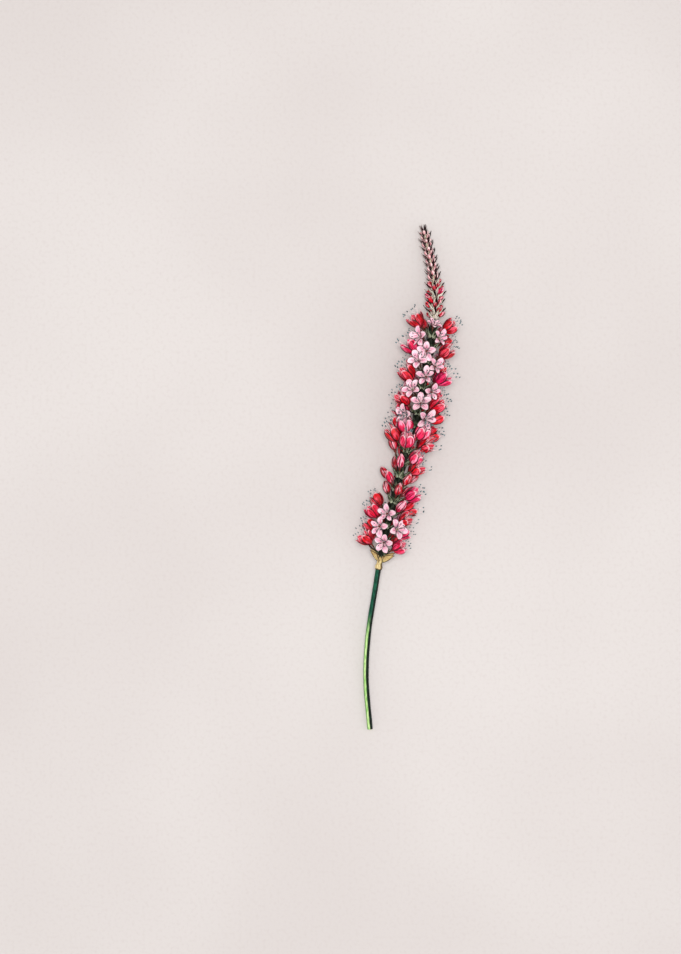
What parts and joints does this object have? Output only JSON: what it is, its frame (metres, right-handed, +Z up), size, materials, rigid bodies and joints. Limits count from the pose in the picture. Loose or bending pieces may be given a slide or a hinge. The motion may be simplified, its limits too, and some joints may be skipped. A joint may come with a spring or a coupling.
{
  "type": "cut polygonum stem",
  "caption": "Cut polygonum stem lying on its side: a bare green stalk and a tall narrow spike of crimson cups, pale pink stars, closed buds and a dark tapering bud tip.",
  "frame": {"origin": "middle of the stem's bounding box, on the surface that it lies on", "axes": "+Y from the cut end of the stalk towards the bud tip, +Z up from the surface, +X to the right of the spike as seen from above"},
  "size_m": [0.0332, 0.1622, 0.0161],
  "materials": {
    "stalk_skin": "satin",
    "dry_sheath": "matte",
    "petals": "satin",
    "dark_buds": "satin"
  },
  "bodies": {
    "root": {"stalk": "stalk_skin", "base_sheath": "dry_sheath", "flower_spike": "petals", "bud_tip": "dark_buds"}
  },
  "joints": []
}
